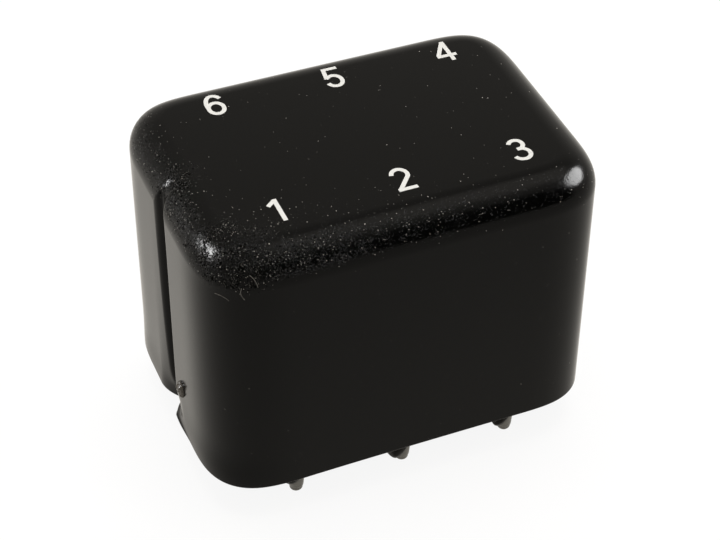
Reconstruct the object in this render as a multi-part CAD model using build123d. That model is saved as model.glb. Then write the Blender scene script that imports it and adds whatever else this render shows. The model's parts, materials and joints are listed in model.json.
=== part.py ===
from build123d import *
import math
import os

os.makedirs("parts", exist_ok=True)

# Painted can: outside sizes in millimetres, measured from the rim up
can_length = 27.0
can_width = 19.05
can_height = 19.05
can_wall = 0.6
plan_corner_radius = 3.9
top_edge_radius = 2.4
rim_edge_bevel = 0.1
inside_edge_bevel = 1.05

# Vertical channel pressed into the left end of the can
channel_centre_y = 0.35
channel_depth = 0.62
channel_lip_radius = 1.3
channel_floor_radius = 0.7
channel_wall_angle = 40.0
channel_runout_radius = 0.8
channel_runout_spread = 1.1

# Small dent in the front lip of the channel, just above the rim
dent_ball_radius = 1.0
dent_depth = 0.44
dent_from_channel = 0.9
dent_height = 1.25

# Set lump of epoxy stuck to the left end, above the dent
bead_from_channel = 3.05
bead_height = 3.9
bead_half_width = 0.62
bead_half_height = 0.72
bead_stand = 0.4
bead_sink = 0.08

# Six round pins in two rows, on a tenth of an inch grid
pin_pitch = 7.62
row_from_side = 1.905
pin_diameter = 1.02
pin_shank_side = 0.9
pin_tail = 2.9
pin_tip_chamfer = 0.16
pins_per_row = 3

# Potting compound
potting_recess = 0.45

# Core: scrapless E and I plates, whose other sizes are shares of the tongue's width
core_to_side = 0.9875
core_room_below = 2.8
core_room_above = 1.9
plate_thickness = 0.46
plate_pitch = 0.47
window_length_share = 1.5
window_width_share = 0.5
yoke_share = 0.5

# Bobbin
tube_wall = 0.65
flange_thickness = 0.8
flange_side_gap = 0.35
flange_lip = 0.3
rail_width = 1.66
rail_above_rim = 2.6
rail_overhang = 1.3
shelf_thickness = 0.7
slot_width = 0.9
slot_from_tube_side = 0.625
pin_below_core = 0.65

# Windings, from the tube outwards, with the primary's share of the wire
coil_to_core = 0.625
primary_share = 0.53
tape_build = 0.15
inner_bend_radius = 0.3

# Lead wires
wire_diameter = 0.3
wire_sides = 8
wrap_below_rail = 0.7
wrap_gap = 0.02
wrap_corners = 4
lead_straight = 0.6
lead_slope = 0.7
lead_aside = 0.5
lead_aside_middle = 0.9

# Sizes worked out from those above
rim_z = pin_tail
top_z = rim_z + can_height
end_x = -can_length / 2
inside_top_z = top_z - can_wall
potting_face_z = rim_z + potting_recess
row_y = can_width / 2 - row_from_side
pin_radius = pin_diameter / 2
wire_radius = wire_diameter / 2

core_width = can_width - 2 * can_wall - 2 * core_to_side
tongue = core_width / (window_length_share + 2 * yoke_share)
yoke = tongue * yoke_share
window_width = tongue * window_width_share
window_length = tongue * window_length_share
core_length = tongue + 2 * window_width + 2 * yoke
window_end_y = window_length / 2

coil_build = window_width - tube_wall - coil_to_core
primary_build = (coil_build - 2 * tape_build) * primary_share
secondary_build = coil_build - 2 * tape_build - primary_build
round_core = tube_wall + coil_build + flange_lip
stack_room = inside_top_z - rim_z - core_room_below - core_room_above - 2 * round_core
plate_count = int(stack_room / plate_pitch)
stack_height = plate_pitch * (plate_count - 1) + plate_thickness
core_under_z = rim_z + core_room_below + round_core
core_z = core_under_z + stack_height / 2

coil_half = window_end_y - flange_thickness
tube_x = tongue + 2 * tube_wall
tube_z = stack_height + 2 * tube_wall
flange_x = tongue + 2 * window_width - 2 * flange_side_gap
flange_z = stack_height + 2 * round_core
flange_under_z = rim_z + core_room_below
shelf_under_z = core_under_z - shelf_thickness
slot_offset = tube_x / 2 - slot_from_tube_side
rail_under_z = rim_z + rail_above_rim
rail_height = core_under_z - rail_under_z
rail_length = 2 * pin_pitch + 2 * rail_overhang
pin_top_z = core_under_z - pin_below_core
wrap_z = rail_under_z - wrap_below_rail
wrap_half = pin_shank_side / 2 + wrap_gap + wire_radius

# How far cutting shapes reach past the surface they cut
clear = 1.0


# A block with rounded upright corners, standing on the rim
def upright_block(inset):
    plan = RectangleRounded(
        can_length - 2 * inset, can_width - 2 * inset, plan_corner_radius - inset
    )
    return extrude(Plane.XY.offset(rim_z) * plan, can_height - inset)


# Plan outline of what the channel takes away, for a surface set in by some depth
def channel_outline(inset):
    angle = math.radians(channel_wall_angle)
    bends = channel_lip_radius + channel_floor_radius
    straight = (channel_depth - bends * (1 - math.cos(angle))) / math.sin(angle)
    half = bends * math.sin(angle) + straight * math.cos(angle)
    lip = channel_lip_radius - inset
    floor = channel_floor_radius + inset
    lip_start = (inset, half)
    lip_mid = (channel_lip_radius - lip * math.cos(angle / 2), half - lip * math.sin(angle / 2))
    lip_end = (channel_lip_radius - lip * math.cos(angle), half - lip * math.sin(angle))
    floor_start = (
        channel_depth - channel_floor_radius + floor * math.cos(angle),
        floor * math.sin(angle),
    )
    floor_mid = (channel_depth + inset, 0)
    edges = [
        ThreePointArc(lip_start, lip_mid, lip_end),
        Line(lip_end, floor_start),
        ThreePointArc(floor_start, floor_mid, (floor_start[0], -floor_start[1])),
        Line((floor_start[0], -floor_start[1]), (lip_end[0], -lip_end[1])),
        ThreePointArc(
            (lip_end[0], -lip_end[1]),
            (lip_mid[0], -lip_mid[1]),
            (lip_start[0], -lip_start[1]),
        ),
        Line((inset, -half), (-clear, -half)),
        Line((-clear, -half), (-clear, half)),
        Line((-clear, half), (inset, half)),
    ]
    return make_face(edges)


# The channel in the outside runs straight up and fades out in the rounding of the top edge
def channel_cutter():
    arc = top_edge_radius - channel_runout_radius
    rise = math.sqrt(channel_depth * (2 * arc - channel_depth))
    turn_z = top_z - top_edge_radius + rise * channel_runout_spread
    outline = Location((end_x, channel_centre_y, 0)) * channel_outline(0)
    low = rim_z - clear
    upright = extrude(Plane.XY.offset(low) * outline, turn_z - low)
    axis_x = end_x + channel_depth + channel_runout_radius
    bend = revolve(
        Plane.XY.offset(turn_z) * outline,
        axis=Axis((axis_x, 0, turn_z), (0, 1, 0)),
        revolution_arc=90,
    )
    return upright + bend


# The space inside the can, with the channel's rib; its top edge is a plain bevel
def cavity():
    space = upright_block(can_wall)
    top = space.faces().sort_by(Axis.Z)[-1]
    space = chamfer(top.edges(), inside_edge_bevel)
    outline = Location((end_x, channel_centre_y, 0)) * channel_outline(can_wall)
    return space - extrude(Plane.XY.offset(rim_z - clear) * outline, can_height + clear)


# Drawn can: one sheet, with its channel, its rim and the dent in the channel's lip
def make_can(space):
    body = upright_block(0)
    top = body.faces().sort_by(Axis.Z)[-1]
    body = fillet(top.edges(), top_edge_radius) - channel_cutter()
    rim = body.faces().sort_by(Axis.Z)[0]
    body = chamfer(rim.edges(), rim_edge_bevel)
    dent_x = end_x - dent_ball_radius + dent_depth
    dent_y = channel_centre_y - dent_from_channel
    dent = Location((dent_x, dent_y, rim_z + dent_height)) * Sphere(dent_ball_radius)
    return body - space - dent


# Epoxy lump: a flattened dome whose flat back lies on the end of the can
def make_epoxy_bead():
    bead_y = channel_centre_y - bead_from_channel
    place = (end_x + bead_sink, bead_y, rim_z + bead_height)
    ball = scale(Sphere(1), by=(bead_stand + bead_sink, bead_half_width, bead_half_height))
    keep = Box(2 * clear, 2 * clear, 2 * clear)
    return Location(place) * ball & Location((end_x - clear, bead_y, place[2])) * keep


# Pin: a round tail with a bevelled tip, and above the rim a squared shank that can't turn
def make_pin(x, y):
    tail = extrude(Circle(pin_radius), rim_z)
    tip = tail.faces().sort_by(Axis.Z)[0]
    tail = chamfer(tip.edges(), pin_tip_chamfer)
    square = Rectangle(pin_shank_side, pin_shank_side)
    shank = extrude(Plane.XY.offset(rim_z) * square, pin_top_z - rim_z)
    return Location((x, y, 0)) * (tail + shank)


# One E plate, back to the front or to the rear
def e_plate(z, side):
    plate = Box(core_length, window_length + yoke, plate_thickness)
    plate = Location((0, side * yoke / 2, z)) * plate
    for x in (-1, 1):
        window = Box(window_width, window_length, plate_thickness)
        plate = plate - Location((x * (tongue + window_width) / 2, 0, z)) * window
    return plate


# One I plate, closing the open side of its E plate
def i_plate(z, side):
    plate = Box(core_length, yoke, plate_thickness)
    return Location((0, -side * (window_length + yoke) / 2, z)) * plate


# Height of one core plate's middle
def plate_z(number):
    return core_z + (number - (plate_count - 1) / 2) * plate_pitch


# E plates turned front to back in turn, as they are interleaved
def make_core_e():
    plates = [e_plate(plate_z(n), 1 if n % 2 else -1) for n in range(plate_count)]
    return Compound(children=plates)


# I plates, each beside the open side of its E plate
def make_core_i():
    plates = [i_plate(plate_z(n), 1 if n % 2 else -1) for n in range(plate_count)]
    return Compound(children=plates)


# The whole core as one plain block, for cutting the potting
def core_block():
    block = Location((0, 0, core_z)) * Box(core_length, core_width, stack_height)
    for x in (-1, 1):
        window = Box(window_width, window_length, stack_height + clear)
        block = block - Location((x * (tongue + window_width) / 2, 0, core_z)) * window
    return block


# A block with rounded edges round the bobbin tube, between the flanges
def coil_block(build):
    outline = RectangleRounded(
        tube_x + 2 * build, tube_z + 2 * build, inner_bend_radius + build
    )
    upright = Plane(origin=(0, coil_half, core_z), x_dir=(1, 0, 0), z_dir=(0, -1, 0))
    return extrude(upright * outline, 2 * coil_half)


# A ring round the bobbin tube, from one build height to another
def coil_ring(start, end):
    return coil_block(end) - coil_block(start)


# Moulded bobbin: tube, two slotted flanges, two shelves and two pin rails
def make_bobbin(pins):
    bobbin = coil_block(0)
    flange_y = window_end_y - flange_thickness / 2
    shelf_depth = row_y - rail_width / 2 - window_end_y
    slot_height = shelf_under_z - flange_under_z
    for side in (-1, 1):
        flange = Box(flange_x, flange_thickness, flange_z)
        bobbin = bobbin + Location((0, side * flange_y, core_z)) * flange
        shelf = Box(flange_x, shelf_depth, shelf_thickness)
        shelf_y = side * (window_end_y + shelf_depth / 2)
        bobbin = bobbin + Location((0, shelf_y, core_under_z - shelf_thickness / 2)) * shelf
        rail = Box(rail_length, rail_width, rail_height)
        bobbin = bobbin + Location((0, side * row_y, rail_under_z + rail_height / 2)) * rail
        for x in (-slot_offset, 0, slot_offset):
            slot = Box(slot_width, flange_thickness, slot_height)
            slot_z = flange_under_z + slot_height / 2
            bobbin = bobbin - Location((x, side * flange_y, slot_z)) * slot
    hole = Box(tongue, window_length + clear, stack_height)
    bobbin = bobbin - Location((0, 0, core_z)) * hole
    for pin in pins:
        bobbin = bobbin - pin
    return bobbin


# The corners of a lead's wrap round its squared pin, from the first that the wire meets
def wrap_points(centre, meet_angle, turn):
    quarter = math.pi / 2
    first = round(meet_angle / quarter - 0.5) * quarter + quarter / 2
    corner = wrap_half * math.sqrt(2)
    angles = [first - turn * quarter * number for number in range(wrap_corners)]
    return [
        (centre[0] + corner * math.cos(angle), centre[1] + corner * math.sin(angle))
        for angle in angles
    ]


# Enamelled wire from a winding, through a flange slot, to a wrap round its pin
def make_lead(pin_x, side, start_z):
    slot_x = slot_offset * (0 if pin_x == 0 else math.copysign(1, pin_x))
    turn = 1 if pin_x >= 0 else -1
    out_y = window_end_y + lead_straight
    down_y = out_y + lead_slope
    down_x = slot_x + turn * (lead_aside if pin_x else lead_aside_middle)
    aim = math.atan2(row_y - down_y, pin_x - down_x)
    flat = wrap_points((pin_x, row_y), aim + turn * math.pi / 2, turn)
    points = [(slot_x, side * coil_half, start_z), (slot_x, side * out_y, start_z)]
    points = points + [(down_x, side * down_y, wrap_z)]
    points = points + [(x, side * y, wrap_z) for x, y in flat]
    round_wire = RegularPolygon(wire_radius, wire_sides, major_radius=False)
    section = Plane(origin=points[0], x_dir=(1, 0, 0), z_dir=(0, side, 0)) * round_wire
    return sweep(section, path=Polyline(*points), transition=Transition.RIGHT)


# Potting compound: the space left in the can, up to a little inside its rim
def make_potting(space, inside):
    open_height = potting_face_z - rim_z + clear
    mouth = Box(can_length, can_width, open_height)
    fill = space - Location((0, 0, potting_face_z - open_height / 2)) * mouth
    for piece in inside:
        fill = fill - piece
    return fill


def main():
    space = cavity()
    export_step(make_can(space), "parts/can.step")
    export_step(make_epoxy_bead(), "parts/epoxy_bead.step")

    # Pins count from the front left round to the rear left, seen from above
    xs = [(n - (pins_per_row - 1) / 2) * pin_pitch for n in range(pins_per_row)]
    places = [(x, -row_y) for x in xs] + [(x, row_y) for x in reversed(xs)]
    primary_z = core_under_z - tube_wall - primary_build + wire_diameter
    secondary_z = core_under_z - tube_wall - coil_build + tape_build + secondary_build / 2
    pins = []
    leads = []
    for number, (x, y) in enumerate(places, start=1):
        front = y < 0
        pin = make_pin(x, y)
        lead = make_lead(x, -1 if front else 1, primary_z if front else secondary_z)
        export_step(pin, f"parts/pin_{number}.step")
        export_step(lead, f"parts/lead_{number}.step")
        pins.append(pin)
        leads.append(lead)

    bobbin = make_bobbin(pins)
    export_step(bobbin, "parts/bobbin.step")
    to_tape = primary_build
    to_secondary = to_tape + tape_build
    to_outer_tape = to_secondary + secondary_build
    export_step(coil_ring(0, to_tape), "parts/primary_winding.step")
    export_step(coil_ring(to_tape, to_secondary), "parts/interwinding_tape.step")
    export_step(coil_ring(to_secondary, to_outer_tape), "parts/secondary_winding.step")
    export_step(coil_ring(to_outer_tape, coil_build), "parts/outer_tape.step")
    export_step(make_core_e(), "parts/core_e_laminations.step")
    export_step(make_core_i(), "parts/core_i_laminations.step")

    inside = [core_block(), coil_block(coil_build), bobbin] + pins + leads
    export_step(make_potting(space, inside), "parts/potting.step")


main()
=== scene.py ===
import json
import math

import bmesh
import bpy
import numpy as np
from mathutils import Matrix, Vector, noise
from mathutils.bvhtree import BVHTree


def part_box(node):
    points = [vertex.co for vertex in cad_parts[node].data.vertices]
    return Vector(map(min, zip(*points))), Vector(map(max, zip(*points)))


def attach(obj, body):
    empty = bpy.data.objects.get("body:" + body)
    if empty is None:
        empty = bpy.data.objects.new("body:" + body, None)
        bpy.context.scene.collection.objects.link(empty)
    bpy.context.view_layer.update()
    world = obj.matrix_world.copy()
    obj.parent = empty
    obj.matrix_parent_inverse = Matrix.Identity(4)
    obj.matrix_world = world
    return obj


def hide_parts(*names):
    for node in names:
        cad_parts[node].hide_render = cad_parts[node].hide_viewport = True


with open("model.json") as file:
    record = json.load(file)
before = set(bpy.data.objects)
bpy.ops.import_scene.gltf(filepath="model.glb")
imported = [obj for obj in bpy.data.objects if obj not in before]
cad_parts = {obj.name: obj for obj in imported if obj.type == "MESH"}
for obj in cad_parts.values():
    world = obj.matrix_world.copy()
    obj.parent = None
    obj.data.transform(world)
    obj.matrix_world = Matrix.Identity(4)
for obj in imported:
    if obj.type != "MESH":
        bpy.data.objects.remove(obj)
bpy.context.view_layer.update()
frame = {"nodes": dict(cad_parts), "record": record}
nodes = frame["nodes"]

MM = 0.001


def box_mm(name):
    """The lower and upper corner of a solid's box, in millimetres."""
    low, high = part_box(name)
    return np.array(low) / MM, np.array(high) / MM


# The can's outside: places come from the frame, roundings in millimetres
can_low, can_high = box_mm("can")
rim_z, top_z = can_low[2], can_high[2]
half_length, half_width = can_high[0], can_high[1]
corner_sizes = (4.45, 3.9, 3.9, 3.8)
corner_ease = 0.7
top_edge = 2.4
top_edge_z = top_z - top_edge
rim_edge = 0.06
wall = 0.6
ink_thickness = 0.012
skin_top_z = top_z - ink_thickness

# How finely the skin is divided round the plan, up the wall, over the edges and across the top
curve_samples = 2000
corner_steps = 36
side_steps = (84, 40, 30, 40, 84)
rim_steps, top_edge_steps = 4, 36
wall_steps = (44, 40, 10)
lower_part, upper_part = 3.0, 0.6
top_shares = (0.85, 0.65, 0.4, 0.15)
inner_wall_rows, inner_edge_steps = 12, 8

# The pressed channel in the left end: lip radius, floor radius and flank angle of its two sections
channel_y = -0.07
channel_depth = 0.66
floor_width = 0.34
far_section = (0.65, 0.35, math.radians(62))
near_section = (0.9, 0.33, math.radians(58))
crease_power = 4.0

# Its far side flares towards the rim, and once more at its mouth
flare_depth, flare_half, flare_start, flare_height = 0.6, 2.5, 1.0, 5.0
mouth_depth, mouth_height = 0.75, 1.4

# Its upper end grows shallower and comes out of the can's end in a curve
runout_radius = 0.8
runout_spread = 1.03
runout_taper, taper_length = 0.25, 6.0

# The dent in the channel's front lip, the lip's outward bend below it and the slight spread of the whole end
dent_y, dent_z = -0.14, rim_z + 0.85
dent_half_y, dent_above, dent_below, dent_depth = 1.2, 1.0, 0.5, 0.53
bend_y, bend_half, bend_height, bend_out = -1.6, 2.3, 0.14, 0.11
spread_out, spread_height = 0.07, 1.6

# The rim hangs down a little, most at the front left corner, which also stands out a little
rim_hang, corner_hang, hang_height, hang_reach = 0.04, 0.17, 0.9, 7.0
corner_out = 0.12

# Dust and painted sparkle on the paint: the corner and the run-out where it is thickest; the light grains
# there paint sparkle into the highlights
corner_dust_and_sparkle = (-11.5, -7.4, top_z - 1.0)
runout_dust_and_sparkle = (-12.3, 0.2, top_z - 0.5)
least_wear = 0.02

# Lump of set epoxy on the left end, above the dent, inside the bead's box
bead_y, bead_z = -2.25, rim_z + 3.5
bead_half_y, bead_half_z = 0.48, 0.68
bead_stand, bead_limit, bead_root = 0.28, 0.395, 0.06
bead_lean, bead_outline, bead_lumps = 0.12, 0.16, 0.55
bead_shares = (1.0, 0.97, 0.9, 0.8, 0.68, 0.55, 0.42, 0.3, 0.18, 0.07)
bead_segments = 40

# Pins: a rounded tip, the height and radius of each level of the tail, and a squared shank
pin_radius = 0.51
tip_radius, tip_round, tip_steps = 0.45, 0.24, 6
tail_levels = [(0.7, 0.47), (1.2, 0.495), (1.8, pin_radius), (rim_z - 0.02, pin_radius)]
shank_half, squareness = 0.45, 8

# Tin on each pin: height and thickness of each level of the coat, and its closed ends
coat_levels = ((0.4, -0.03), (0.5, 0.0), (0.7, 0.03), (1.0, 0.07), (1.4, 0.1), (2.2, 0.1))
coat_low_z, coat_high_z, coat_end_radius = 0.42, 2.3, 0.44
coat_ripple = 0.5

# Epoxy round each pin, with a dark lump on its left that stands in for painted shade: where it starts on the
# left and right, and how far its lump stands out
collar_and_shade_lump_shapes = {
    "pin_1": (0.85, 1.5, 0.55),
    "pin_2": (0.3, 1.7, 0.62),
    "pin_3": (0.5, 1.9, 0.6),
    "pin_4": (0.9, 1.6, 0.2),
    "pin_5": (1.0, 1.5, 0.15),
    "pin_6": (0.8, 1.7, 0.25),
}
shade_lump_side = math.radians(195)
collar_shares = (0, 0.01, 0.03, 0.06, 0.1, 0.15, 0.2, 0.35, 0.5, 0.65, 0.8, 0.9, 0.96, 1)
collar_film, collar_least, collar_lap = 0.015, 0.01, 0.03
collar_blunt, collar_ripple = 0.2, 0.25
fillet_reach, fillet_power = 0.75, 5

# Underside of the potting: insets along its creeping edge, then shares of the plan towards the middle
potting_z = box_mm("potting")[0][2]
potting_insets = (0.0, 0.05, 0.12, 0.22, 0.36, 0.55, 0.8, 1.2)
potting_shares = (0.9, 0.75, 0.6, 0.45, 0.3, 0.15)
potting_lap, potting_stand, potting_back = 0.02, 0.06, 0.05
creep_height, creep_reach = 0.3, 0.22
potting_wave, potting_waves_per_mm = 0.05, 0.35

# Short fibres in the paint: start, end and sideways bow
fibre_radius, fibre_steps, fibre_sides, fibre_sink, fibre_wear = 0.022, 8, 6, 0.2, 6.0
fibres = [
    ((-10.75, -9.0, 20.75), (-10.35, -9.3, 19.9), 0.08),
    ((-11.3, -9.0, 19.85), (-11.15, -9.1, 18.95), -0.15),
    ((-12.75, -7.9, 19.0), (-12.1, -8.7, 18.75), 0.1),
]

# Print on the top: size of the digits, the steps along a stroke, and the ink's shares above and depth below
digit_height = 2.25
digit_stroke = 0.285
digit_step = 0.08
digit_columns = (-7.56, 0.62, 8.6)
front_digit_y, rear_digit_y = -5.25, 6.3
ink_share, ink_layer_share, ink_root = 0.6, 0.15, 0.05

# Colours of the materials: the darker and the lighter place, or the plain colour
paint_black = (0.0006, 0.0006, 0.00055, 1)
dust_and_sparkle_colours = (0.002, 0.002, 0.0018, 1), (0.42, 0.4, 0.37, 1)
ink_colours = (0.4, 0.4, 0.39, 1), (0.5, 0.5, 0.49, 1)
tin_colours = (0.06, 0.058, 0.054, 1), (0.17, 0.166, 0.155, 1)
nylon_colours = (0.55, 0.5, 0.4, 1), (0.68, 0.64, 0.54, 1)
tape_colours = (0.5, 0.28, 0.03, 1), (0.75, 0.5, 0.08, 1)
iron_colours = (0.3, 0.29, 0.27, 1), (0.5, 0.49, 0.47, 1)
bead_colour = (0.042, 0.037, 0.031, 1)
potting_colour = (0.004, 0.0036, 0.003, 1)
primary_colour = (0.55, 0.2, 0.08, 1)
secondary_colour = (0.62, 0.26, 0.1, 1)
lead_colour = (0.6, 0.24, 0.09, 1)

# Studio: floor, surroundings, lamps in metres and watts, and the camera
studio_warm = (0.95, 0.905, 0.825)
floor_half, floor_grey, floor_glow = 4000, 0.85, 0.9
lamp_aim, lamp_distance = Vector((0, 0, 0.02)), 0.6
camera_place = Vector((-39.15, -94.0, 98.55))
camera_azimuth, camera_elevation, camera_roll = -22.63, 40.84, 0.47
camera_lens, camera_sensor, camera_near = 100.64, 36.0, 0.01


# Meshes and pieces

def smooth(value, low, high):
    """Smooth step from 0 at low to 1 at high."""
    share = np.clip((value - low) / (high - low), 0, 1)
    return share * share * (3 - 2 * share)


def quarter_turn(steps):
    """Angles from 0 to a right angle."""
    return np.linspace(0, math.pi / 2, steps + 1)


def uneven(x, y, layer):
    """Smooth noise between about -1 and 1."""
    return noise.noise(Vector((x, y, layer)))


def mesh_from(name, points, faces):
    """A smooth-shaded mesh from points in millimetres."""
    mesh = bpy.data.meshes.new(name)
    mesh.from_pydata((np.asarray(points) * MM).tolist(), [], faces)
    mesh.polygons.foreach_set("use_smooth", [True] * len(mesh.polygons))
    mesh.update()
    return mesh


def set_dust_and_sparkle(mesh, values):
    """Stores how much dust and painted sparkle the paint has at each point."""
    mesh.attributes.new("dust_and_sparkle", "FLOAT", "POINT").data.foreach_set("value", values)


def band(lower, upper, count, flip=False):
    """Faces between two rings of count points; rings are numbered one after the other."""
    quads = []
    for k in range(count):
        n = (k + 1) % count
        quads.append([lower * count + k, lower * count + n, upper * count + n, upper * count + k])
    return [quad[::-1] for quad in quads] if flip else quads


def cap(row, count, flip=False):
    """The face that closes one ring."""
    corners = [row * count + k for k in range(count)]
    return corners[::-1] if flip else corners


def closed_stack(rows, count, flip=False):
    """Faces of a stack of rings closed at both ends."""
    faces = [face for row in range(rows - 1) for face in band(row, row + 1, count, flip)]
    return faces + [cap(0, count, not flip), cap(rows - 1, count, flip)]


def lathe(rings, segments=48, flip=False):
    """Points and faces of a closed stack of rings; each ring is a function of the angle giving x, y, z."""
    angles = np.linspace(0, 2 * math.pi, segments, endpoint=False)
    points = np.concatenate([np.array([ring(a) for a in angles]) for ring in rings])
    return points, closed_stack(len(rings), segments, flip)


def stage_object(name, data):
    """An object linked into the scene."""
    placed = bpy.data.objects.new(name, data)
    bpy.context.scene.collection.objects.link(placed)
    return placed


def add_piece(name, mesh, slot):
    """A piece of the part that rides on the one body and has the slot's material."""
    piece = stage_object(name, mesh)
    mesh.materials.append(materials[slot])
    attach(piece, "root")
    return piece


# Materials

class Nodes:
    """Short way to build one material's node tree."""

    def __init__(self, name):
        self.material = bpy.data.materials.new(name)
        self.material.use_nodes = True
        self.tree = self.material.node_tree
        self.shader = self.tree.nodes["Principled BSDF"]
        self.place = self.add("ShaderNodeTexCoord").outputs["Object"]

    def add(self, kind, **settings):
        node = self.tree.nodes.new(kind)
        for key, value in settings.items():
            setattr(node, key, value)
        return node

    def link(self, source, target):
        self.tree.links.new(source, target)

    def plug(self, value, socket):
        if isinstance(value, bpy.types.NodeSocket):
            self.link(value, socket)
        else:
            socket.default_value = value

    def math(self, operation, a, b, clamp=False):
        node = self.add("ShaderNodeMath", operation=operation, use_clamp=clamp)
        self.plug(a, node.inputs[0])
        self.plug(b, node.inputs[1])
        return node.outputs[0]

    def plus(self, a, b, clamp=False):
        return self.math("ADD", a, b, clamp)

    def minus(self, a, b):
        return self.math("SUBTRACT", a, b)

    def times(self, a, b):
        return self.math("MULTIPLY", a, b)

    def most(self, first, *others):
        for other in others:
            first = self.math("MAXIMUM", first, other)
        return first

    def ramp(self, value, low, high, to_low=0.0, to_high=1.0):
        """Smooth step from to_low at low to to_high at high."""
        node = self.add("ShaderNodeMapRange", interpolation_type="SMOOTHSTEP")
        self.plug(value, node.inputs["Value"])
        limits = {"From Min": low, "From Max": high, "To Min": to_low, "To Max": to_high}
        for key, number in limits.items():
            self.plug(number, node.inputs[key])
        return node.outputs["Result"]

    def noise(self, per_mm, detail=2.0, roughness=0.5, place=None):
        node = self.add("ShaderNodeTexNoise")
        self.link(place or self.place, node.inputs["Vector"])
        node.inputs["Scale"].default_value = per_mm / MM
        node.inputs["Detail"].default_value = detail
        node.inputs["Roughness"].default_value = roughness
        return node.outputs["Fac"]

    def cells(self, per_mm):
        """Distance from the middle of each cell, and two random numbers of the cell."""
        node = self.add("ShaderNodeTexVoronoi")
        self.link(self.place, node.inputs["Vector"])
        node.inputs["Scale"].default_value = per_mm / MM
        split = self.add("ShaderNodeSeparateColor")
        self.link(node.outputs["Color"], split.inputs[0])
        return node.outputs["Distance"], split.outputs[0], split.outputs[1]

    def specks(self, per_mm, chance, size):
        """Round grains, present in a share of the cells, and the random tone of each."""
        distance, lot, tone = self.cells(per_mm)
        radius = self.times(tone, size)
        present = self.math("LESS_THAN", lot, chance)
        return self.times(present, self.ramp(distance, self.plus(radius, 0.12), radius)), tone

    def shifted(self, offset):
        """The place on the piece, moved by an offset in metres."""
        node = self.add("ShaderNodeVectorMath", operation="ADD")
        self.link(self.place, node.inputs[0])
        node.inputs[1].default_value = offset
        return node.outputs[0]

    def mix(self, factor, a, b):
        node = self.add("ShaderNodeMix", data_type="RGBA")
        self.plug(factor, node.inputs["Factor"])
        self.plug(a, node.inputs["A"])
        self.plug(b, node.inputs["B"])
        return node.outputs["Result"]

    def attribute(self, name):
        return self.add("ShaderNodeAttribute", attribute_name=name).outputs["Fac"]

    def bump(self, height, depth_mm):
        node = self.add("ShaderNodeBump")
        self.link(height, node.inputs["Height"])
        node.inputs["Distance"].default_value = depth_mm * MM
        node.inputs["Strength"].default_value = 1.0
        self.link(node.outputs["Normal"], self.shader.inputs["Normal"])

    def set(self, **values):
        for key, value in values.items():
            self.plug(value, self.shader.inputs[key.replace("_", " ")])


def toned(colour, share):
    """A colour made darker or lighter by a share."""
    return [channel * share for channel in colour[:3]] + [1]


def can_paint():
    """Satin black paint with a fine grain; light dust that partly paints the sparkle of the highlights, and
    black pits, where the dust and sparkle attribute is high.
    """
    n = Nodes("can_paint")
    dust_and_sparkle = n.attribute("dust_and_sparkle")
    clumps = n.ramp(n.noise(1.3, 4.0, 0.65), 0.34, 0.66)
    dust_and_sparkle_amount = n.times(dust_and_sparkle, n.plus(n.times(clumps, 0.5), 0.5))

    # Dust and painted sparkle: a ragged film, fine grains, a few coarser ones, and the fibres; the light
    # grains partly paint the sparkle of the highlights
    film_level = n.minus(0.75, n.times(dust_and_sparkle_amount, 0.2))
    film = n.ramp(n.noise(12.0, 3.0, 0.65), film_level, n.plus(film_level, 0.06))
    film_tone = n.ramp(n.noise(5.0, 2.0), 0.38, 0.7, 0.02, 0.24)
    grain, grain_lot = n.specks(9.5, n.times(dust_and_sparkle_amount, 0.45), 0.24)
    grain_tone = n.times(n.math("POWER", grain_lot, 2.0), 0.6)
    coarse, coarse_tone = n.specks(6.5, n.times(dust_and_sparkle_amount, 0.15), 0.18)
    fibre = n.ramp(dust_and_sparkle, 1.5, 2.0)
    speck = n.most(film, grain, coarse, fibre)
    grain_light = n.most(n.times(film, film_tone), n.times(grain, grain_tone))
    tone = n.most(grain_light, n.times(coarse, coarse_tone), n.times(fibre, 0.25))
    n.set(Base_Color=n.mix(speck, paint_black, n.mix(tone, *dust_and_sparkle_colours)))

    # Pits that mirror nothing
    pit_level = n.minus(0.7, n.times(dust_and_sparkle_amount, 0.27))
    pit_noise = n.noise(9.0, 3.0, 0.65, n.shifted((0.5, 0.3, 0.2)))
    pit = n.ramp(pit_noise, pit_level, n.plus(pit_level, 0.06))
    n.set(Specular_IOR_Level=n.times(n.minus(1.0, pit), 0.5), IOR=1.185)

    gloss = n.ramp(n.noise(9.0, 3.0), 0.3, 0.7, 0.11, 0.16)
    n.set(Roughness=n.plus(n.times(speck, 0.4), gloss))
    orange_peel = n.times(n.noise(8.0, 2.5, 0.6), n.plus(n.times(dust_and_sparkle_amount, 0.5), 0.05))
    n.bump(n.minus(n.plus(orange_peel, n.times(speck, 0.12)), n.times(pit, 0.12)), 0.045)
    return n.material


def print_ink():
    """Matt white ink, slightly patchy."""
    n = Nodes("print_ink")
    thin = n.ramp(n.noise(5.0, 3.0), 0.25, 0.45)
    n.set(Base_Color=n.mix(thin, *ink_colours), Roughness=0.6)
    n.bump(n.noise(12.0), 0.006)
    return n.material


def pin_tin():
    """Dull solder-dipped tin."""
    n = Nodes("pin_tin")
    patch = n.noise(1.6, 4.0, 0.6)
    n.set(Base_Color=n.mix(patch, *tin_colours), Metallic=1.0)
    n.set(Roughness=n.ramp(patch, 0.3, 0.7, 0.34, 0.5))
    n.bump(n.noise(4.0, 3.0), 0.03)
    return n.material


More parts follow.
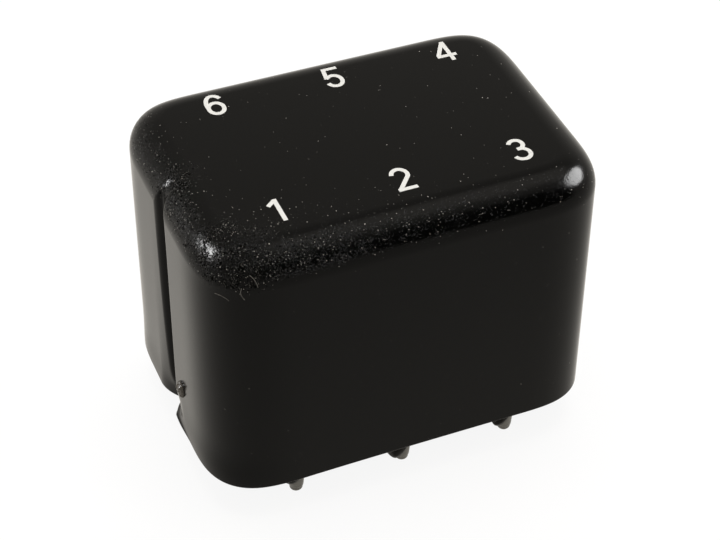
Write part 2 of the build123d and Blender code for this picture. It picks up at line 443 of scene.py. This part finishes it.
def cast_epoxy(name, colour, roughness, waves_per_mm, index):
    """Black cast resin with a few small pits and a slow waviness."""
    n = Nodes(name)
    n.set(Base_Color=n.mix(n.noise(1.2, 4.0), colour, toned(colour, 1.7)), IOR=index)
    n.set(Roughness=n.ramp(n.noise(3.0), 0.3, 0.7, roughness, roughness + 0.15))
    distance, lot, _ = n.cells(1.3)
    pit = n.times(n.math("LESS_THAN", lot, 0.3), n.ramp(distance, 0.22, 0.1))
    n.bump(n.minus(n.noise(waves_per_mm, 3.0), n.times(pit, 1.5)), 0.06)
    return n.material


def moulded_nylon():
    """Natural nylon with a faint mottling."""
    n = Nodes("bobbin_nylon")
    n.set(Base_Color=n.mix(n.noise(0.8, 4.0), *nylon_colours), Roughness=0.45, Subsurface_Weight=0.1)
    n.bump(n.noise(6.0), 0.01)
    return n.material


def wound_wire(name, colour, turns_per_mm):
    """Enamelled copper: fine turns side by side."""
    n = Nodes(name)
    turns = n.add("ShaderNodeTexWave", wave_type="BANDS", bands_direction="Y", wave_profile="SIN")
    n.link(n.place, turns.inputs["Vector"])
    turns.inputs["Scale"].default_value = turns_per_mm / MM / 3.2
    turns.inputs["Distortion"].default_value = 0.4
    n.set(Base_Color=n.mix(turns.outputs["Fac"], toned(colour, 0.4), colour), Metallic=0.7, Roughness=0.3)
    n.bump(turns.outputs["Fac"], 0.05)
    return n.material


def tape_film():
    """Amber polyester film over the turns below it."""
    n = Nodes("tape_film")
    n.set(Base_Color=n.mix(n.noise(0.7, 3.0), *tape_colours), Roughness=0.2)
    n.bump(n.noise(1.5, 3.0), 0.05)
    return n.material


def core_iron():
    """Annealed nickel-iron sheet with a dull oxide."""
    n = Nodes("core_nickel_iron")
    n.set(Base_Color=n.mix(n.noise(1.5, 5.0), *iron_colours), Metallic=1.0)
    n.set(Roughness=n.ramp(n.noise(5.0), 0.3, 0.7, 0.35, 0.55))
    n.bump(n.noise(10.0), 0.01)
    return n.material


# The can

def corner_curve():
    """A gradual quarter turn of size one: places before and beside the corner, and the angle turned."""
    share = np.linspace(0, 1, curve_samples + 1)
    rate = smooth(share, 0, corner_ease) * smooth(1 - share, 0, corner_ease)
    angle = np.concatenate([[0], np.cumsum(rate[1:] + rate[:-1])])
    angle *= math.pi / 2 / angle[-1]
    middle = (angle[1:] + angle[:-1]) / 2
    forward = np.concatenate([[0], np.cumsum(np.cos(middle))])
    aside = np.concatenate([[0], np.cumsum(np.sin(middle))])
    half = curve_samples // 2
    gap = math.hypot(forward[-1] - forward[half], aside[half])
    scale = (math.sqrt(2) - 1) / gap
    keep = np.linspace(0, curve_samples, corner_steps + 1).astype(int)
    return (forward[-1] - forward[keep]) * scale, aside[keep] * scale, angle[keep]


def can_outline():
    """Points and outward normals round the can's plan, from the middle of the left end towards the front."""
    before, beside, angle = corner_curve()
    front_left, front_right, rear_right, rear_left = reach = [size * before[0] for size in corner_sizes]
    ways = [np.array(way, float) for way in ((0, -1), (1, 0), (0, 1), (-1, 0), (0, -1))]
    signs = ((-1, -1), (1, -1), (1, 1), (-1, 1))
    corners = [np.array((x * half_length, y * half_width)) for x, y in signs]
    length, width = 2 * half_length, 2 * half_width
    lengths = (half_width - front_left, length - front_left - front_right,
               width - front_right - rear_right, length - rear_right - rear_left, half_width - rear_left)
    points, normals = [], []
    place = np.array([-half_length, 0.0])
    for side, way in enumerate(ways):
        facing = ways[side - 1] if side else ways[3]
        for travel in np.linspace(0, lengths[side], side_steps[side], endpoint=False):
            points.append(place + way * travel)
            normals.append(facing)
        if side == len(corners):
            break
        size = corner_sizes[side]
        for b, a, turn in zip(before[:-1] * size, beside[:-1] * size, angle[:-1]):
            points.append(corners[side] - way * b + ways[side + 1] * a)
            normals.append(facing * math.cos(turn) + way * math.sin(turn))
        place = corners[side] + ways[side + 1] * reach[side]
    return np.array(points), np.array(normals)


def on_left_end(normals):
    """Which points of the outline lie on the flat of the left end."""
    return normals[:, 0] < -0.99


def section_depth(off, lip, floor, angle):
    """Depth across a groove with a round floor, straight flanks and round lips."""
    bend = 1 - math.cos(angle)
    straight = (channel_depth - (lip + floor) * bend) / math.sin(angle)
    floor_half = floor * math.sin(angle)
    lip_start = floor_half + straight * math.cos(angle)
    half = lip_start + lip * math.sin(angle)
    bottom = channel_depth - floor + np.sqrt(np.maximum(floor**2 - off**2, 0))
    flank = channel_depth - floor * bend - (off - floor_half) * math.tan(angle)
    rounded = lip - np.sqrt(np.maximum(lip**2 - (half - off) ** 2, 0))
    depth = np.where(off < floor_half, bottom, np.where(off < lip_start, flank, rounded))
    return np.where(off < half, depth, 0.0)


def blend_depths(*depths):
    """Several depths as one, with soft creases where one gives way to the next."""
    return sum(depth**crease_power for depth in depths) ** (1 / crease_power)


def channel_depth_at(y, z):
    """Depth of the channel at a height: flared at the rear near the rim, curved out of the end at the top."""
    off = y - channel_y
    flare = flare_depth * min(math.exp(-(z - rim_z - flare_start) / flare_height), 1)
    flare += mouth_depth * math.exp(-(((z - rim_z) / mouth_height) ** 2))
    flared = np.minimum(flare * np.maximum(1 - off / flare_half, 0) ** 2, channel_depth)
    far = blend_depths(section_depth(np.maximum(off - floor_width, 0), *far_section), flared)
    across = np.where(off > 0, far, section_depth(-off, *near_section))
    across = across * (1 - runout_taper * float(smooth(z, top_z - taper_length, top_edge_z)))

    deepest = channel_depth * (1 - runout_taper)
    bend = top_edge - runout_radius
    turn_z = top_edge_z + math.sqrt(deepest * (2 * bend - deepest)) * runout_spread
    reach = deepest + runout_radius
    above = max(z - turn_z, 0)
    bent = reach - np.sqrt(np.maximum((reach - across) ** 2 - above**2, 0))
    return np.where(above < reach - across, np.maximum(bent, 0), 0)


def dent_depth_at(y, z):
    """Depth of the dent where the channel meets the rim, shorter towards the rim."""
    half_z = dent_above if z > dent_z else dent_below
    return dent_depth * np.exp(-(((y - dent_y) / dent_half_y) ** 2) - ((z - dent_z) / half_z) ** 2)


def bend_out_at(y, z):
    """How far the left end stands out near the rim: all of it slightly, the front lip more below its dent."""
    share = np.maximum(1 - ((y - bend_y) / bend_half) ** 2, 0)
    lip = bend_out * share**2 * math.exp(-((z - rim_z) / bend_height) ** 2)
    return lip + spread_out * math.exp(-((z - rim_z) / spread_height) ** 2)


def stretch(edges, counts):
    """Values between edges, each stretch divided into its own number of steps."""
    parts = [np.linspace(a, b, n, endpoint=False) for a, b, n in zip(edges, edges[1:], counts)]
    return np.append(np.concatenate(parts), edges[-1])


def outer_rows():
    """Height and set-back of each row up the outside: the rim's edge, the wall and the top edge."""
    turn = quarter_turn(rim_steps)
    rim = [(rim_z + rim_edge * (1 - math.cos(a)), rim_edge * (1 - math.sin(a))) for a in turn]
    edges = (rim_z + rim_edge, rim_z + lower_part, top_edge_z - upper_part, top_edge_z)
    upright = [(z, 0.0) for z in stretch(edges, wall_steps)[1:]]
    turn = quarter_turn(top_edge_steps)[1:]
    top = [(top_edge_z + top_edge * math.sin(a), top_edge * (1 - math.cos(a))) for a in turn]
    return rim + upright + top


def inner_rows():
    """Height and set-back of each row up the inside, to its own smaller rounding."""
    upright = [(z, 0.0) for z in np.linspace(rim_z, top_edge_z, inner_wall_rows)]
    radius = top_edge - wall
    turn = quarter_turn(inner_edge_steps)[1:]
    return upright + [(top_edge_z + radius * math.sin(a), radius * (1 - math.cos(a))) for a in turn]


def outer_ring(base, out, z, back):
    """One row of the outside, with the channel, the dent and the bent rim."""
    y = base[:, 1]
    left = on_left_end(out)
    pressed = np.where(left, channel_depth_at(y, z), 0)
    dent = np.where(left, dent_depth_at(y, z), 0)
    rounded = back if z > rim_z + 1 else 0.0
    recess = blend_depths(rounded, pressed, dent)
    recess += back - rounded - np.maximum(-out[:, 0], 0) ** 2 * bend_out_at(y, z)
    low_share = math.exp(-(((z - rim_z) / spread_height) ** 2))
    diagonal = np.maximum(out[:, 0] * out[:, 1], 0) * 2 * (out[:, 0] < 0)
    recess -= corner_out * low_share * diagonal
    flat = base - out * recess[:, None]

    from_corner = np.hypot(base[:, 0] + half_length, base[:, 1] + half_width)
    hang = corner_hang * np.exp(-((from_corner / hang_reach) ** 2)) + rim_hang
    hang *= math.exp(-(z - rim_z) / hang_height)
    drop = ink_thickness * (z - rim_z) / (top_z - rim_z) + hang
    return np.column_stack([flat, np.full(len(base), z - drop)])


def inner_ring(base, out, z, back):
    """One row of the inside, set in by the wall."""
    pressed = np.where(on_left_end(out), channel_depth_at(base[:, 1], min(z, top_edge_z)), 0)
    recess = blend_depths(back, pressed) + wall
    return np.column_stack([base - out * recess[:, None], np.full(len(base), z)])


def make_can_shell():
    """The drawn can as one closed sheet, outside, rim and inside, with its channel and dent."""
    base, out = can_outline()
    count = len(base)
    outside = [outer_ring(base, out, z, back) for z, back in outer_rows()]
    edge = outside[-1]
    for share in top_shares:
        ring = edge.copy()
        ring[:, :2] *= share
        ring[:, 2] = skin_top_z
        outside.append(ring)
    inside = [inner_ring(base, out, z, back) for z, back in inner_rows()]
    stack = np.concatenate(outside + inside)

    first, last = len(outside), len(outside) + len(inside) - 1
    faces = [face for row in range(first - 1) for face in band(row, row + 1, count)]
    faces.append(cap(first - 1, count))
    faces += band(0, first, count, flip=True)
    faces += [face for row in range(first, last) for face in band(row, row + 1, count, flip=True)]
    faces.append(cap(last, count, flip=True))
    mesh = mesh_from("can_shell", stack, faces)
    set_dust_and_sparkle(mesh, dust_and_sparkle_at(stack))
    return mesh


def dust_and_sparkle_at(points):
    """How much dust, painted sparkle and pitting the paint has: most on the front and left top edges, near
    their corner.
    """
    x, y, z = points[:, 0], points[:, 1], points[:, 2]
    from_front, from_left = y + half_width, x + half_length

    # Along the front and left top edges, less towards the far ends
    edge = smooth(z, top_z - 2.2, top_z - 1.4) * (1 - 0.75 * smooth(z, top_z - 0.3, top_z - 0.02))
    along = 1 - 0.55 * smooth(x, -8.0, 0.0) - 0.2 * smooth(x, 0.0, 10.0)
    front = edge * smooth(from_front, 3.4, 1.8) * along
    side = edge * smooth(from_left, 3.4, 1.8) * (1 - 0.35 * smooth(y, -6.0, 8.0)) * 0.9

    # Round the corner between them and round the channel's run-out, where light grains paint sparkle into the
    # highlights
    from_corner = np.linalg.norm(points - corner_dust_and_sparkle, axis=1)
    corner = smooth(from_corner, 4.2, 1.8) * smooth(z, top_z - 3.0, top_z - 1.8)
    from_runout = np.linalg.norm(points - runout_dust_and_sparkle, axis=1)
    runout = smooth(from_runout, 2.2, 0.8)

    # A trace on the top near the front, and a few grains everywhere
    top = smooth(z, top_z - 0.2, top_z) * smooth(from_front, 6.0, 2.0) * smooth(x, 5.0, -8.0) * 0.3
    worst = np.maximum.reduce([front, side, corner, runout, top])
    return np.clip(least_wear + least_wear * smooth(z, top_z - 1.0, top_z) + worst, 0, 1)


# Small pieces at the can's end and below it

def pin_place(name):
    """A pin's axis in plan, and the heights of its tip and its upper end."""
    low, high = box_mm(name)
    x, y = (low[:2] + high[:2]) / 2
    return x, y, low[2], high[2]


def round_ring(x, y, z, radius):
    """A level ring round a pin's axis."""
    return lambda angle: (x + radius * math.cos(angle), y + radius * math.sin(angle), z)


def squared_ring(x, y, z, half):
    """A level ring round a pin's axis, square with rounded corners."""
    def place(angle):
        c, s = math.cos(angle), math.sin(angle)
        reach = half / (abs(c) ** squareness + abs(s) ** squareness) ** (1 / squareness)
        return x + reach * c, y + reach * s, z
    return place


def make_tail(name):
    """A pin: slightly tapered round tail with a rounded tip, and its squared shank in the potting."""
    x, y, low_z, high_z = pin_place(name)
    turns = [step / tip_steps * math.pi / 2 for step in range(tip_steps + 1)]
    tip = [(tip_round * (1 - math.cos(turn)), tip_radius - tip_round * (1 - math.sin(turn))) for turn in turns]
    rings = [round_ring(x, y, low_z + z, radius) for z, radius in tip + tail_levels]
    rings += [squared_ring(x, y, z, shank_half) for z in (rim_z, high_z)]
    return mesh_from(name + "_tail", *lathe(rings))


def left_share(angle):
    """How much a place round a pin faces the side where a dark lump stands in for painted shade, a little in
    front of the left.
    """
    return (0.5 + 0.5 * math.cos(angle - shade_lump_side)) ** 2


def make_collar_with_shade_lump(name, low_left, low_right, lump):
    """Potting compound round a pin: a fillet at the face, and a blunt dark lump down its left side that stands
    in for painted shade.
    """
    x, y, _, _ = pin_place(name)

    def level(share):
        def place(angle):
            c, s, side = math.cos(angle), math.sin(angle), left_share(angle)
            start = low_right + (low_left - low_right) * side
            ripple = 1 + collar_ripple * uneven(x + 2 * c, y + 2 * s, 3 * share)
            # The dark lump is painted shade on the pin's left side, not real epoxy
            stand = lump * side * math.sqrt(min(share / collar_blunt, 1)) * ripple
            thick = collar_film + stand + fillet_reach * share**fillet_power
            reach = pin_radius + max(thick, collar_least)
            return x + reach * c, y + reach * s, start + (potting_z - start) * share
        return place

    inside = pin_radius - collar_lap
    rings = [round_ring(x, y, low_right, inside)]
    rings += [level(share) for share in collar_shares]
    rings.append(round_ring(x, y, potting_z + collar_lap, inside))
    return mesh_from(name + "_collar", *lathe(rings))


def make_sleeve(name):
    """Thin coat of tin that thickens up the pin's visible end."""
    x, y, _, _ = pin_place(name)

    def level(z, coat):
        def place(angle):
            c, s = math.cos(angle), math.sin(angle)
            ripple = 1 + coat_ripple * uneven(x + 1.5 * c, y + 1.5 * s, z)
            reach = pin_radius + coat * (0.5 + left_share(angle)) * ripple
            return x + reach * c, y + reach * s, z
        return place

    rings = [round_ring(x, y, coat_low_z, coat_end_radius)]
    rings += [level(z, coat) for z, coat in coat_levels]
    rings.append(round_ring(x, y, coat_high_z, coat_end_radius))
    return mesh_from(name + "_sleeve", *lathe(rings))


def make_potting_face():
    """Underside of the potting: nearly level, with a thin edge that crept along the can's wall."""
    base, out = can_outline()
    pressed = np.where(on_left_end(out), channel_depth_at(base[:, 1], rim_z), 0)
    edge = wall + pressed - potting_lap
    rings = [(edge + inset, 1.0, creep_height * math.exp(-inset / creep_reach)) for inset in potting_insets]
    rings += [(edge + potting_insets[-1], share, 0.0) for share in potting_shares]
    points = []
    for depth, share, creep in rings:
        flat = (base - out * depth[:, None]) * share
        per_mm = potting_waves_per_mm
        waves = [potting_wave * uneven(per_mm * px, per_mm * py, 2.7) for px, py in flat]
        points.append(np.column_stack([flat, potting_z - potting_stand - creep + np.array(waves)]))
    back = points[0].copy()
    back[:, 2] = potting_z + potting_back
    stack = np.concatenate([back] + points)
    return mesh_from("potting_face", stack, closed_stack(len(points) + 1, len(base), flip=True))


def make_bead():
    """Lumpy drop of epoxy: rings on the left end that rise to uneven heights."""
    def level(share, root):
        def place(angle):
            c, s = math.cos(angle), math.sin(angle)
            wide = 1 + bead_outline * uneven(1.7 * c, 1.7 * s, 3.1)
            y = share * wide * bead_half_y * c
            z = share * wide * bead_half_z * s - bead_lean * y
            slow, quick = uneven(2.1 * y, 2.1 * z, 0.4), uneven(4.5 * y, 4.5 * z, 1.9)
            lump = 1 + bead_lumps * slow + bead_lumps * quick
            rise = bead_stand * (1 - share**2.6) ** 0.55 * lump
            return -half_length + root - min(rise, bead_limit), bead_y + y, bead_z + z
        return place

    rings = [level(bead_shares[0], bead_root)] + [level(share, 0.0) for share in bead_shares]
    return mesh_from("epoxy_lump", *lathe(rings, bead_segments, flip=True))


def make_fibres(shell_mesh):
    """A few short fibres caught in the paint near the front left corner."""
    corners = [tuple(polygon.vertices) for polygon in shell_mesh.polygons]
    surface = BVHTree.FromPolygons([vertex.co for vertex in shell_mesh.vertices], corners)
    count = fibre_sides
    points, faces = [], []
    for start, end, bow in fibres:
        start, end = Vector(start), Vector(end)
        along = (end - start).normalized()
        for step in range(fibre_steps + 1):
            share = step / fibre_steps
            guess = start.lerp(end, share) * MM
            _, normal, _, _ = surface.find_nearest(guess)
            side = normal.cross(along).normalized()
            guess += side * bow * math.sin(math.pi * share) * MM
            spot, normal, _, _ = surface.find_nearest(guess)
            middle = spot / MM + normal * fibre_radius * fibre_sink
            for k in range(count):
                turn = 2 * math.pi * k / count
                points.append(middle + (normal * math.sin(turn) + side * math.cos(turn)) * fibre_radius)
        last_row = len(points) // count - 1
        first_row = last_row - fibre_steps
        for row in range(first_row, last_row):
            faces += band(row, row + 1, count)
        faces += [cap(first_row, count, flip=True), cap(last_row, count)]
    mesh = mesh_from("paint_fibres", points, faces)
    set_dust_and_sparkle(mesh, [fibre_wear] * len(points))
    return mesh


# Print

def top_height(x, y):
    """Height of the can's top and its rounding at a place in plan."""
    inward = min(half_length - abs(x), half_width - abs(y))
    short = max(top_edge - inward, 0)
    return skin_top_z - top_edge + math.sqrt(max(top_edge**2 - short**2, 0))


def arc(centre_x, centre_y, radius_x, radius_y, start, end, steps):
    """Points along part of an ellipse, angles in degrees."""
    angles = np.radians(np.linspace(start, end, steps))
    return [(centre_x + radius_x * math.cos(a), centre_y + radius_y * math.sin(a)) for a in angles]


def digit_strokes(digit):
    """Centre lines of a plain numeral, one unit tall and centred on x 0."""
    low = digit_stroke / digit_height / 2
    high = 1 - low
    if digit == 1:
        return [[(0.06, 0.02), (0.06, 0.98)], [(0.055, 0.93), (-0.19, 0.73)]]
    if digit == 2:
        head = arc(-0.005, 0.695, 0.225, high - 0.695, 172, -28, 26)
        return [head + [(-0.215, low + 0.02)], [(-0.29, low), (0.28, low)]]
    if digit == 3:
        upper = arc(-0.01, 0.735, 0.2, high - 0.735, 160, -75, 24)
        lower = arc(-0.01, 0.3, 0.24, 0.3 - low, 75, -165, 26)
        return [upper + [(-0.06, 0.53)], [(-0.06, 0.53)] + lower]
    if digit == 4:
        return [[(0.11, 0), (0.11, 1)], [(0.1, 0.94), (-0.26, 0.32)], [(-0.31, 0.28), (0.3, 0.28)]]
    if digit == 5:
        bowl = arc(-0.01, 0.325, 0.225, 0.325 - low, 125, -165, 30)
        return [[(-0.15, high), (0.27, high)], [(-0.13, 1), (-0.2, 0.47)], [(-0.21, 0.49)] + bowl]
    stem = arc(0.03, 0.5, 0.25, high - 0.5, 35, 180, 26)
    bowl = arc(0.0, 0.325, 0.22, 0.325 - low, 0, 360, 36)
    return [stem + [(-0.22, 0.4)], bowl]


def ribbon(path, half):
    """Left and right edges of a stroke of even width, in steps short enough to follow the rounding."""
    path = np.array(path)
    cuts = [max(int(np.linalg.norm(b - a) / digit_step), 1) for a, b in zip(path, path[1:])]
    pieces = [np.linspace(a, b, count, endpoint=False) for a, b, count in zip(path, path[1:], cuts)]
    path = np.concatenate(pieces + [path[-1:]])
    step = np.diff(path, axis=0)
    step /= np.linalg.norm(step, axis=1)[:, None]
    side = np.column_stack([-step[:, 1], step[:, 0]])
    at = np.vstack([side[:1], side[:-1] + side[1:], side[-1:]])
    at /= np.linalg.norm(at, axis=1)[:, None]
    lean = np.ones(len(path))
    lean[1:-1] = (at[1:-1] * side[1:]).sum(axis=1)
    return path + at * (half / lean)[:, None], path - at * (half / lean)[:, None]


def add_stroke(builder, path, rise):
    """One stroke of ink: a closed strip that follows the top and stands a little above it."""
    rings = []
    for a, b in zip(*ribbon(path, digit_stroke / 2)):
        across = [a + (b - a) * share for share in (0, 0.5, 1)]
        upper = [builder.verts.new((p[0], p[1], top_height(*p) + rise)) for p in across]
        lower = [builder.verts.new((p[0], p[1], top_height(*p) - ink_root)) for p in across]
        rings.append(upper + lower[::-1])
    for first, second in zip(rings, rings[1:]):
        for k in range(len(first)):
            n = (k + 1) % len(first)
            builder.faces.new((first[k], second[k], second[n], first[n]))
    builder.faces.new(rings[0])
    builder.faces.new(rings[-1][::-1])


def make_digits():
    """Pin numbers 1 to 6 as thin ink on the top and its rounding."""
    builder = bmesh.new()
    layout = [(1, 0, front_digit_y), (2, 1, front_digit_y), (3, 2, front_digit_y),
              (4, 2, rear_digit_y), (5, 1, rear_digit_y), (6, 0, rear_digit_y)]
    for digit, column, y in layout:
        x = digit_columns[column]
        for layer, path in enumerate(digit_strokes(digit)):
            placed = [(x + px * digit_height, y + (py - 0.5) * digit_height) for px, py in path]
            add_stroke(builder, placed, ink_thickness * (ink_share + ink_layer_share * layer))
    bmesh.ops.scale(builder, vec=(MM, MM, MM), verts=builder.verts)
    bmesh.ops.recalc_face_normals(builder, faces=builder.faces)
    mesh = bpy.data.meshes.new("pin_numbers")
    builder.to_mesh(mesh)
    builder.free()
    return mesh


# Studio

def make_floor():
    """Plain white floor that keeps the part's soft shadow."""
    corners = [(x * floor_half, y * floor_half, 0) for x, y in ((-1, -1), (1, -1), (1, 1), (-1, 1))]
    mesh = mesh_from("floor", corners, [cap(0, 4)])
    n = Nodes("floor_white")
    n.set(Base_Color=(floor_grey, floor_grey, floor_grey, 1), Roughness=0.9, Specular_IOR_Level=0.0)
    path = n.add("ShaderNodeLightPath").outputs
    seen = n.plus(n.plus(path["Is Camera Ray"], path["Is Glossy Ray"]), path["Is Transmission Ray"], True)
    glow = n.add("ShaderNodeEmission")
    n.link(n.mix(path["Is Camera Ray"], [*studio_warm, 1], (1, 1, 1, 1)), glow.inputs["Color"])
    blend = n.add("ShaderNodeMixShader")
    n.link(n.times(seen, floor_glow), blend.inputs["Fac"])
    n.link(n.shader.outputs[0], blend.inputs[1])
    n.link(glow.outputs[0], blend.inputs[2])
    n.link(blend.outputs[0], n.tree.nodes["Material Output"].inputs["Surface"])
    mesh.materials.append(n.material)
    stage_object("floor", mesh)


def direction(azimuth, elevation):
    """Unit vector: azimuth 0 is towards the front, 90 towards the right."""
    a, e = math.radians(azimuth), math.radians(elevation)
    return Vector((math.sin(a) * math.cos(e), -math.cos(a) * math.cos(e), math.sin(e)))


def make_world():
    """Even warm surroundings, dark on the camera's side and lighter high on the right."""
    world = bpy.data.worlds.new("studio")
    bpy.context.scene.world = world
    world.use_nodes = True
    tree = world.node_tree
    background = tree.nodes["Background"]
    background.inputs["Color"].default_value = [*studio_warm, 1]
    place = tree.nodes.new("ShaderNodeTexCoord")

    def patch(towards, inner, outer, at_edge, at_middle):
        """Strength that changes smoothly across a round patch, angles in degrees from its middle."""
        dot = tree.nodes.new("ShaderNodeVectorMath")
        dot.operation = "DOT_PRODUCT"
        dot.inputs[1].default_value = towards
        tree.links.new(place.outputs["Generated"], dot.inputs[0])
        shade = tree.nodes.new("ShaderNodeMapRange")
        shade.interpolation_type = "SMOOTHSTEP"
        limits = {"From Min": math.cos(math.radians(outer)), "From Max": math.cos(math.radians(inner))}
        for key, value in {**limits, "To Min": at_edge, "To Max": at_middle}.items():
            shade.inputs[key].default_value = value
        tree.links.new(dot.outputs["Value"], shade.inputs["Value"])
        return shade.outputs["Result"]

    total = tree.nodes.new("ShaderNodeMath")
    total.operation = "ADD"
    tree.links.new(patch(direction(16, 16), 24, 38, 0.92, 0.0), total.inputs[0])
    tree.links.new(patch(direction(84, 68), 6, 24, 0.0, 1.5), total.inputs[1])
    tree.links.new(total.outputs[0], background.inputs["Strength"])


def add_lamp(name, azimuth, elevation, width, height, power, gloss_only=False):
    """A soft lamp aimed at the part, seen either by diffuse or by glossy light only."""
    lamp = bpy.data.lights.new(name, "AREA")
    lamp.shape = "ELLIPSE"
    lamp.size, lamp.size_y, lamp.energy = width, height, power
    towards = direction(azimuth, elevation)
    placed = stage_object(name, lamp)
    placed.location = lamp_aim + towards * lamp_distance
    placed.rotation_euler = (-towards).to_track_quat("-Z", "Y").to_euler()
    placed.visible_diffuse = not gloss_only
    placed.visible_glossy = gloss_only


def make_camera():
    """The viewpoint, fitted to the can's outline."""
    camera = bpy.data.cameras.new("camera")
    camera.sensor_width = camera_sensor
    camera.lens = camera_lens
    camera.clip_start = camera_near
    back = direction(camera_azimuth, camera_elevation)
    side = Vector((0, 0, 1)).cross(back).normalized()
    aimed = Matrix((side, back.cross(side), back)).transposed()
    roll = Matrix.Rotation(math.radians(camera_roll), 3, "Z")
    placed = stage_object("camera", camera)
    placed.location = camera_place * MM
    placed.rotation_mode = "QUATERNION"
    placed.rotation_quaternion = (aimed @ roll).to_quaternion()
    bpy.context.scene.camera = placed


# The part: a material for each solid, then the pieces that refine or replace them

materials = {
    "can_paint": can_paint(),
    "print_ink": print_ink(),
    "pin_tin": pin_tin(),
    "epoxy_bead": cast_epoxy("epoxy_bead", bead_colour, 0.3, 5.0, 1.27),
    "potting_compound": cast_epoxy("potting_compound", potting_colour, 0.35, 2.0, 1.14),
    "bobbin_nylon": moulded_nylon(),
    "primary_wire": wound_wire("primary_wire", primary_colour, 5.0),
    "secondary_wire": wound_wire("secondary_wire", secondary_colour, 6.0),
    "lead_enamel": wound_wire("lead_enamel", lead_colour, 0.5),
    "tape_film": tape_film(),
    "core_nickel_iron": core_iron(),
}
for part in frame["record"]["subparts"]:
    mesh_slots = nodes[part["node"]].data.materials
    mesh_slots.clear()
    mesh_slots.append(materials[part["material_slot"]])

shell = add_piece("can_shell", make_can_shell(), "can_paint")
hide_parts("can")
add_piece("paint_fibres", make_fibres(shell.data), "can_paint")
add_piece("pin_numbers", make_digits(), "print_ink")
bead = add_piece("epoxy_lump", make_bead(), "epoxy_bead")
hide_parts("epoxy_bead")
for name, shape in collar_and_shade_lump_shapes.items():
    tail = add_piece(name + "_tail", make_tail(name), "pin_tin")
    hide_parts(name)
    add_piece(name + "_sleeve", make_sleeve(name), "pin_tin")
    add_piece(name + "_collar", make_collar_with_shade_lump(name, *shape), "potting_compound")
add_piece("potting_face", make_potting_face(), "potting_compound")

make_floor()
make_world()
add_lamp("overhead", 160, 75, 0.5, 0.5, 3.0)
add_lamp("left_rear_glint", -114, 28, 0.22, 0.2, 11.5, gloss_only=True)
add_lamp("right_glint", 74, 31, 0.42, 0.34, 16.0, gloss_only=True)
make_camera()
bpy.context.scene.view_settings.view_transform = "Standard"
